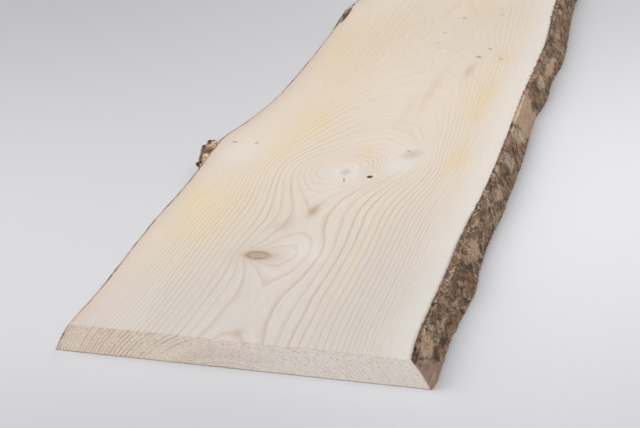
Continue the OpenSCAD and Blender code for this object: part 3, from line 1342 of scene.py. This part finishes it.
@dataclass
class EdgeBark:
    """Rough bark along the right edge: scales, crevices and fibres as real relief.

    A point's place on the bark is its station and its way round: across the sawn band on the
    upper face first, then down the outside. Both are in millimetres.
    """

    node: str = "bark_right"
    # Cells down the outside and across the sawn band
    rows: int = 34
    band_columns: int = 7
    # Furthest station of each stretch and the step between cross-sections there
    stretches: tuple[Pair, ...] = ((0.70, 0.00135), (1.25, 0.0021), (2.0, 0.0036))
    patches: tuple[BarkPatch, ...] = RIGHT_PATCHES
    # Size of a scale of bark, along the board and around its edge
    scale_size: Pair = (10.0, 4.2)
    # How much each scale stands out, how deep the crevices are, the fibres' height, and how
    # far the whole surface swells and sinks
    step: float = 0.9
    crevice: float = 1.3
    fibre: float = 0.65
    swell: float = 0.9
    # Way round the edge for each unit of height, and the least bark left over the wood
    slant: float = 1.2
    least: float = 0.0006
    # How far the break of the crust at the butt corner runs back for each step round the edge
    break_slope: float = 1.91
    # How far the fibres have drifted round the edge, along the board: they slant across it
    drift: Curve = Curve(((-20, 3), (350, -52), (450, -40), (560, 35), (900, 350), (1000, 395),
                          (2020, 600)))

    def relief(self, s: Array, t: Array) -> dict[str, Array]:
        """Work out the surface. Each scale has its own height and tilts along the board; crevices
        sink where two scales meet; fibres are ridges of noise drawn out along their slant. Bare
        patches lie lower and smoother.

        Args:
            s: station.
            t: way round the edge.

        Returns:
            The height in millimetres and the shares that the finish reads, by name.
        """
        # Scales, on coordinates that drift with the fibres and are bent by noise
        flow = t + self.drift(s) + 1.6 * Noise(14).layers(s / 18, t / 8, 2)
        warp = Noise(11).layers(s / 22, t / 9, 3)
        u = s / self.scale_size[0] + 0.6 * warp
        v = flow / self.scale_size[1] + 0.45 * Noise(12).layers(s / 12, t / 6, 3)
        gap, tone, tilt = Noise(13).plates(u, v)
        ridges = 1 - np.abs(Noise(15).layers(flow / 1.7, s / 10, 3))
        fine = Noise(16).layers(s / 2.4, t / 1.4, 2)
        # Where the crust is bare
        ragged = 1 + 0.45 * Noise(21).layers(s / 9, t / 4.0, 4)
        tones = tone_fields(self.patches, s, t, ragged)
        facet = self.facet(s, t)
        bare = np.clip(tones["TAN"] + 0.2 * tones["RED"] + facet, 0, 1)
        # Crevices, open in some parts and shut in others, and the crack where the crust ends
        open_gaps = ease(Noise(19).layers(s / 15, t / 8, 2), -0.25, 0.45)
        pit = (1 - ease(gap, 0.02, 0.17)) * (1 - 0.9 * bare) * (0.25 + 0.75 * open_gaps)
        crack = 1 - ease(np.abs(s - self.crust_end(t) - 1.2 * warp), 0.4, 1.8)
        pit = np.maximum(pit, crack * ease(t, 8, 10) * ease(t, 29, 26))
        # All of it added up
        height = self.swell * Noise(17).layers(s / 55, t / 20, 3)
        height += (self.step * (tone - 0.6) + 0.5 * tilt) * (1 - 0.8 * bare)
        height -= self.crevice * pit
        height += (self.fibre * (ridges - 0.7) + 0.35 * fine) * (1 - 0.6 * bare)
        height -= 0.7 * bare + 0.8 * tones["DARK"] * (1 - facet)
        return {"height": height, "pit": pit, "scale": tone, "flow": flow, "fine": fine,
                "facet": facet, **tones}

    def crust_end(self, t: Array) -> Array:
        """Return the station where the crust is broken off, at each way round the edge."""
        return 4 + self.break_slope * np.maximum(t - 5, 0)

    def facet(self, s: Array, t: Array) -> Array:
        """Return 1 on the smooth facet at the butt corner and 0 on the crust. Low down, a
        block of crust reaches over the break."""
        over = 8 * ease(t, 24, 27) + 1.5 * Noise(18).layers(t / 3, s / 5, 3)
        return 1 - ease(s - self.crust_end(t) + over, -0.8, 0.8)

    def around(self, a: Array, y: Array, z: Array) -> tuple[Array, ...]:
        """Find grid points' places on the bark.

        Args:
            a: share of the way from the wood to the outside.
            y: place along the board, in metres.
            z: height, in metres.

        Returns:
            The wood's edge, the outside, the station and the way round.
        """
        inner = self.wood.at(Flank.HIGH_X, y, z)
        outer = self.edges.at(Flank.HIGH_X, y, z)
        top = np.full(z.shape, self.top)
        band = self.edges.at(Flank.HIGH_X, y, top) - self.wood.at(Flank.HIGH_X, y, top)
        t = (band * a + (self.top - z) * self.slant) / MM
        return inner, outer, (y - self.butt) / MM, t

    def shape(self, a: Array, y: Array, z: Array) -> Array:
        """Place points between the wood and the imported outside, raised by the relief. The sawn
        band on the upper face only sinks, and the crust stops short of the butt.

        Args:
            a: share of the way from the wood to the outside.
            y: place along the board, in metres.
            z: height, in metres.

        Returns:
            The points.
        """
        inner, outer, s, t = self.around(a, y, z)
        look = self.relief(s, t)
        crust = 1 - look["facet"]
        raised = look["height"] * (0.12 + 0.88 * crust) - 0.5 * (1 - crust)
        x = inner + (outer - inner) * a + raised * MM * a
        x = np.minimum(np.maximum(x, inner + self.least * a), self.limit)
        on_top = np.isclose(z, self.top)
        torn = np.clip(0.7 + 0.8 * look["fine"] + 1.2 * look["pit"] - 0.4 * look["height"], 0, 2.2)
        drop = np.where(on_top, torn * ease(a, 0.02, 0.5) * MM, 0)
        return np.stack([x, y, z - drop], -1)

    def build(self) -> bpy.types.Object:
        """Build the bark, store its patterns and dress it.

        Returns:
            The piece.
        """
        low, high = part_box(self.node)
        self.butt, self.top, self.limit = low.y, high.z, CAD_BOX[1][0]
        self.edges = EdgeLines(self.node)
        self.wood = EdgeLines("board")
        along = spaced(0, high.y - low.y, self.stretches) + low.y
        block = Block("edge_bark_right", np.linspace(0, 1, self.band_columns + 1), along,
                      np.linspace(low.z, high.z, self.rows + 1), self.shape,
                      share_low=0.3, share_low_x=0.15)
        piece = block.build(width=0.008, height=0.034)
        _, _, s, t = self.around(*block.grid)
        look = self.relief(s, t)
        # The sawn band on the upper face is darker, partly as the bark's own dark cut section and
        # partly as painted shade, and darkest beside the wood, where a painted shadow lies in the
        # gap
        band = ease(t, 7.5, 5.0) * 0.45 * (1 - 0.6 * look["TAN"]) + ease(t, 1.6, 0.6) * 0.3
        # The third number holds dark crust patches and the painted shade of the band together
        add_triple(piece, "scale", [look["pit"], look["scale"],
                                    np.clip(look["DARK"] * 0.75 + band * 0.6, 0, 1)])
        add_triple(piece, "patch", [look["TAN"], look["CREAM"], look["RED"]])
        add_triple(piece, "flow", [look["flow"], s, look["facet"]])
        piece.data.materials.append(Bark().material())
        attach(piece, "root")
        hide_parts(self.node)
        return piece


@dataclass
class InnerBark:
    """Thin inner bark that covers the left edge: fibrous, with small splits along it."""

    node: str = "bark_left"
    # Cells down the outside and through the bark
    rows: int = 20
    columns: int = 2
    # Way round the edge for each unit of height
    slant: float = 1.12
    # Furthest station and the step between cross-sections
    stretches: tuple[Pair, ...] = ((2.0, 0.0045),)

    def look(self, s: Array, t: Array) -> dict[str, Array]:
        """Work out the surface: ridges of noise drawn out along the board, and splits where a
        slow noise crosses zero.

        Args:
            s: station.
            t: way round the edge.

        Returns:
            The height in millimetres and the shares that the finish reads, by name.
        """
        flow = t + 1.2 * Noise(41).layers(s / 70, t / 12, 3)
        ridges = 1 - np.abs(Noise(42).layers(flow / 2.2, s / 34, 3))
        split = 1 - ease(np.abs(Noise(43).layers(flow / 5.5, s / 90, 2)), 0.0, 0.07)
        tone = 0.5 + 0.5 * Noise(44).layers(s / 60, t / 9, 3)
        return {"height": 0.55 * (ridges - 1.0) - 0.7 * split, "pit": split, "tone": tone,
                "flow": flow}

    def shape(self, a: Array, y: Array, z: Array) -> Array:
        """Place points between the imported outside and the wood's edge.

        Args:
            a: share of the way from the outside to the wood.
            y: place along the board, in metres.
            z: height, in metres.

        Returns:
            The points.
        """
        inner = self.wood.at(Flank.LOW_X, y, z)
        outer = self.edges.at(Flank.LOW_X, y, z)
        look = self.look((y - self.butt) / MM, z / MM * self.slant)
        x = inner + (outer - inner - look["height"] * MM) * (1 - a)
        return np.stack([np.minimum(x, inner), y, z], -1)

    def build(self) -> bpy.types.Object:
        """Build the inner bark, store its patterns and dress it.

        Returns:
            The piece.
        """
        low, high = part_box(self.node)
        self.butt = low.y
        self.edges = EdgeLines(self.node)
        self.wood = EdgeLines("board")
        along = spaced(0, high.y - low.y, self.stretches) + low.y
        block = Block("inner_bark_left", np.linspace(0, 1, self.columns + 1), along,
                      np.linspace(low.z, high.z, self.rows + 1), self.shape, share_high_x=0.15)
        piece = block.build(width=0.003, height=0.032)
        _, y, z = block.grid
        s = (y - self.butt) / MM
        look = self.look(s, z / MM * self.slant)
        add_triple(piece, "scale", [look["pit"], look["tone"], 0 * s])
        add_triple(piece, "patch", [np.clip(look["tone"] * 1.1, 0, 1), 0 * s, 0 * s])
        add_triple(piece, "flow", [look["flow"], s * 0.5, 0 * s])
        piece.data.materials.append(Bark(name="fibrous_bark", tan=(0.46, 0.36, 0.28),
                                         relief=0.0004).material())
        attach(piece, "root")
        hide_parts(self.node)
        return piece


@dataclass
class Scab:
    """A piece of thick bark left on the left edge, worn to a ragged outline.

    A point's place is its station within the scab and its way round: outwards over the sawn
    top first, then down the outside. Both are in millimetres.
    """

    node: str
    name: str
    # Thickness over the inner bark at the top, along the scab, in millimetres
    outline: Curve
    patches: tuple[BarkPatch, ...]
    # The part that the saw left flat; its strength is 0 where there is none
    flat: BarkPatch
    # How much further along the underside begins than the top, and the least thickness
    shear: float = 66.0
    least: float = 0.4
    seed: int = 60
    # Cells through it and up it, and the step between its cross-sections
    columns: int = 17
    levels: int = 30
    spacing: float = 0.001

    def look(self, s: Array, t: Array) -> dict[str, Array]:
        """Work out the surface: small scales with crevices, over lumpy noise.

        Args:
            s: station within the scab.
            t: way round it.

        Returns:
            The height in millimetres and the shares that the finish reads, by name.
        """
        warp = Noise(self.seed).layers(s / 10, t / 6, 3)
        gap, tone, tilt = Noise(self.seed + 1).plates(s / 8 + 0.6 * warp, t / 3.6 + warp * 0.6)
        ragged = 1 + 0.35 * Noise(self.seed + 3).layers(s / 7, t / 3, 3)
        tones = tone_fields(self.patches, s, t, ragged)
        flat = tone_fields((self.flat,), s, t, ragged)[self.flat.tone.name]
        pit = (1 - ease(gap, 0.02, 0.22)) * (1 - flat)
        fine = Noise(self.seed + 2).layers(s / 2.6, t / 1.8, 3)
        height = (1.2 * warp + 1.4 * (tone - 0.6) + 0.7 * tilt + 0.5 * fine) * (1 - flat)
        return {"height": height - 1.4 * pit, "pit": pit, "scale": tone, "flat": flat, **tones}

    def place(self, a: Array, y: Array, z: Array) -> tuple[Array, Array]:
        """Return the station within the scab and the way round it."""
        s = (y - self.start) / MM
        return s, self.outline(s) * (1 - a) + (self.top - z) / MM

    def shape(self, a: Array, y: Array, z: Array) -> Array:
        """Place points between the ragged outside and the inner bark. The lower part begins
        further along, and the top is torn except where the saw left it flat.

        Args:
            a: share of the way from the outside to the inner bark.
            y: place along the board, in metres.
            z: height, in metres.

        Returns:
            The points.
        """
        inner = self.skin.at(Flank.LOW_X, y, z)
        s, t = self.place(a, y, z)
        look = self.look(s, t)
        level = z / self.top
        thick = self.outline(s) * (0.5 + 0.5 * ease(level, 0.0, 1.0)) + 0.5 * look["height"]
        begin = self.shear * (1 - level)
        more = np.maximum(thick, self.least) - self.least
        thick = self.least + more * ease(s, begin - 4, begin + 8)
        x = np.maximum(inner - thick * MM * (1 - a), CAD_BOX[0][0])
        torn = np.clip(1.1 - 0.7 * look["height"], 0.2, 3.5) * (1 - look["flat"])
        drop = np.isclose(z, self.top) * ease(1 - a, 0.0, 0.25) * torn * MM
        return np.stack([x, y, z - drop], -1)

    def build(self) -> bpy.types.Object:
        """Build the scab, store its patterns and dress it.

        Returns:
            The piece.
        """
        low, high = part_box(self.node)
        self.start, self.top = low.y, high.z
        self.skin = EdgeLines("bark_left")
        rows = max(2, round((high.y - low.y) / self.spacing))
        block = Block(self.name, np.linspace(0, 1, self.columns + 1),
                      np.linspace(low.y, high.y, rows + 1),
                      np.linspace(low.z, high.z, self.levels + 1), self.shape, share_high_x=0.3)
        piece = block.build(width=0.016, height=0.030)
        s, t = self.place(*block.grid)
        look = self.look(s, t)
        add_triple(piece, "scale", [look["pit"], look["scale"], look["DARK"]])
        add_triple(piece, "patch", [look["TAN"], look["CREAM"], look["RED"]])
        add_triple(piece, "flow", [t + 0.2 * s, s, 0 * s])
        piece.data.materials.append(bpy.data.materials["flaky_bark"])
        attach(piece, "root")
        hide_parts(self.node)
        return piece


SCABS = (
    Scab("bark_scab_near", "bark_scab_near_visual",
         Curve(((0, 2.4), (6, 5), (15, 7.8), (22, 5.8), (36, 7.8), (54, 11.2), (66, 14), (74, 16.2),
                (79, 13), (84, 8), (88, 9), (91, 15), (94, 14), (97, 6), (100, 0.6))),
         (
             *spots(BarkTone.CREAM, (37, 4, 9, 3.5, 1.3), (16, 1, 8, 2.4, 1.4), (1, 1.2, 4, 2, 1.0),
                    (89, 3, 9, 6, 1.5)),
             *spots(BarkTone.RED, (7, 2.5, 6, 3, 1.2), (54, 4, 17, 9, 1.4)),
             *spots(BarkTone.DARK, (54, 4, 16, 8, 0.66), (12, 7, 9, 3, 1.2), (32, 8, 16, 2.4, 1.0),
                    (58, 12, 12, 3, 0.9), (72, 15, 6, 3, 1.0), (92, 14, 5, 3, 1.0)),
             *spots(BarkTone.TAN, (76, 5, 6, 8, 1.4)),
         ),
         flat=BarkPatch(BarkTone.RED, 56, 4, 15, 8, 1.4)),
    Scab("bark_scab_far", "bark_scab_far_visual",
         Curve(((0, 0.4), (28, 0.5), (38, 1.1), (60, 0.9), (80, 0.6), (104, 1.3), (114, 0.4),
                (120, 0.4))),
         spots(BarkTone.DARK, (84, 2, 20, 10, 1.2), (50, 2, 14, 10, 0.8)),
         flat=BarkPatch(BarkTone.RED, 0, -40, 1, 1, 0.0), seed=80),
)


# ---------------------------------------------------------------- studio

@dataclass(frozen=True)
class PaintedPool:
    """A pool of painted light or painted shade on the paper: its place and reach in metres, and
    its tone as a share of the paper's own."""

    at: Pair
    reach: Pair
    tone: float


@dataclass(frozen=True)
class Paper:
    """Matt pale paper that the board lies on, with painted pools of light and shade in its colour.
    """

    name: str = "pale_paper"
    colour: Colour = (0.605, 0.605, 0.628)
    roughness: float = 0.9
    painted_pools: tuple[PaintedPool, ...] = (
        # Painted light to the right of the board, painted shade far to the left and in front of it
        PaintedPool((0.32, -0.50), (0.42, 1.00), 1.31),
        PaintedPool((-0.75, 0.15), (0.95, 1.40), 0.755),
        PaintedPool((-0.3, -1.6), (1.2, 0.72), 0.78),
    )

    def mound(self, graph: Graph, pool: PaintedPool) -> Socket:
        """Work out where a pool of painted light or shade is.

        Args:
            graph: the finish's node tree.
            pool: the part.

        Returns:
            A number that is 1 at the part's place and 0 from its reach outwards.
        """
        inputs = {"Vector": graph.place(), "Location": (*pool.at, 0.0), "Scale": (*pool.reach, 1.0)}
        local = graph.add("Mapping", inputs, vector_type="TEXTURE").outputs["Vector"]
        gap = graph.add("VectorMath", {0: local}, operation="LENGTH").outputs["Value"]
        return graph.step(gap, 0.0, 1.0, 1.0, 0.0)

    def material(self) -> bpy.types.Material:
        """Build the finish.

        Returns:
            The material.
        """
        graph = Graph(self.name)
        colour = self.colour
        for pool in self.painted_pools:
            tone = tuple(pool.tone * part for part in self.colour)
            colour = graph.blend(self.mound(graph, pool), colour, tone)
        return graph.dress(colour, self.roughness)


def hang(data: bpy.types.Light, at: Triple, aim: Triple) -> None:
    """Add a light to the scene, turned to its aim.

    Args:
        data: the light.
        at: its place.
        aim: the place that it points at.
    """
    light = bpy.data.objects.new(data.name, data)
    bpy.context.scene.collection.objects.link(light)
    light.location = at
    ray = np.subtract(aim, at)
    yaw = math.atan2(ray[1], ray[0]) - math.pi / 2
    pitch = math.atan2(ray[2], math.hypot(ray[0], ray[1])) + math.pi / 2
    light.rotation_euler = (pitch, 0.0, yaw)


@dataclass(frozen=True)
class SoftBox:
    """A large square light: its name, place, aim, side and power."""

    name: str
    at: Triple
    aim: Triple
    side: float
    power: float

    def build(self) -> None:
        """Add the light."""
        data = bpy.data.lights.new(self.name, "AREA")
        data.shape = "SQUARE"
        data.size = self.side
        data.energy = self.power
        hang(data, self.at, self.aim)


@dataclass(frozen=True)
class BroadGlow:
    """Even light from a wide part of the room: its name, the way to it, its spread in degrees
    and its strength."""

    name: str
    way: Triple
    spread: float
    strength: float

    def build(self) -> None:
        """Add the light."""
        data = bpy.data.lights.new(self.name, "SUN")
        data.angle = math.radians(self.spread)
        data.energy = self.strength
        hang(data, self.way, (0.0, 0.0, 0.0))


@dataclass
class Studio:
    """Pale floor, soft light, and the camera."""

    datum: Datum
    floor_half: float = 8.0
    # The camera's place from the board's axis at its butt end
    eye: Triple = (0.46793, -1.61212, 0.81939)
    # Its tilt and turn in degrees, and its lens and sensor in millimetres
    tilt: float = 68.4
    turn: float = 13.565
    lens: float = 112.5
    sensor: float = 36.0
    sky: Colour = (1.0, 1.0, 1.0)
    sky_strength: float = 0.10
    lights: tuple[SoftBox | BroadGlow, ...] = (
        BroadGlow("left_glow", (-1.2, -0.3, 1.0), 60.0, 1.34),
        BroadGlow("back_glow", (0.2, 1.0, 0.5), 60.0, 0.24),
        BroadGlow("right_glow", (1.0, -0.4, 0.8), 60.0, 0.29),
        BroadGlow("front_glow", (0.0, -1.0, 0.35), 60.0, 1.13),
        SoftBox("near_light", (-1.5, -1.1, 1.6), (-0.3, -0.3, 0.0), 1.4, 30.0),
        SoftBox("top_light", (0.5, 0.3, 1.8), (0.3, 0.2, 0.0), 1.6, 8.8),
    )

    def build(self) -> None:
        """Add the floor, the sky, the lights and the camera."""
        self.lay_floor()
        self.fill_sky()
        for light in self.lights:
            light.build()
        self.set_camera()

    def lay_floor(self) -> None:
        """Lay one large square of paper under the board."""
        side = self.floor_half
        mesh = bpy.data.meshes.new("floor")
        corners = [(-side, -side, 0), (side, -side, 0), (side, side, 0), (-side, side, 0)]
        mesh.from_pydata(corners, [], [(0, 1, 2, 3)])
        mesh.materials.append(Paper().material())
        floor = bpy.data.objects.new("floor", mesh)
        bpy.context.scene.collection.objects.link(floor)

    def fill_sky(self) -> None:
        """Light the board faintly from all round, and show colours as they are."""
        world = bpy.data.worlds.new("studio")
        world.use_nodes = True
        background = world.node_tree.nodes["Background"]
        background.inputs["Color"].default_value = (*self.sky, 1.0)
        background.inputs["Strength"].default_value = self.sky_strength
        bpy.context.scene.world = world
        bpy.context.scene.view_settings.view_transform = "Standard"

    def set_camera(self) -> None:
        """Stand the camera in front of the board's butt end, looking down along it."""
        camera = bpy.data.cameras.new("camera")
        camera.lens = self.lens
        camera.sensor_width = self.sensor
        eye = bpy.data.objects.new("camera", camera)
        across, along, up = self.eye
        eye.location = (self.datum.axis + across, self.datum.butt + along, up)
        eye.rotation_euler = (math.radians(self.tilt), 0.0, math.radians(self.turn))
        bpy.context.scene.collection.objects.link(eye)
        bpy.context.scene.camera = eye


def report(piece: bpy.types.Object) -> None:
    """Log a finished piece's name and its count of triangles."""
    LOG.info("%s: %d triangles", piece.name, 2 * len(piece.data.polygons))


def main() -> None:
    """Build the studio, then every piece of the board."""
    logging.basicConfig(level=logging.INFO, format="%(name)s: %(message)s")
    datum = Datum.of_board()
    Studio(datum).build()
    report(Plank(datum).build())
    report(EdgeBark().build())
    report(InnerBark().build())
    for scab in SCABS:
        report(scab.build())


if __name__ == "__main__":
    main()
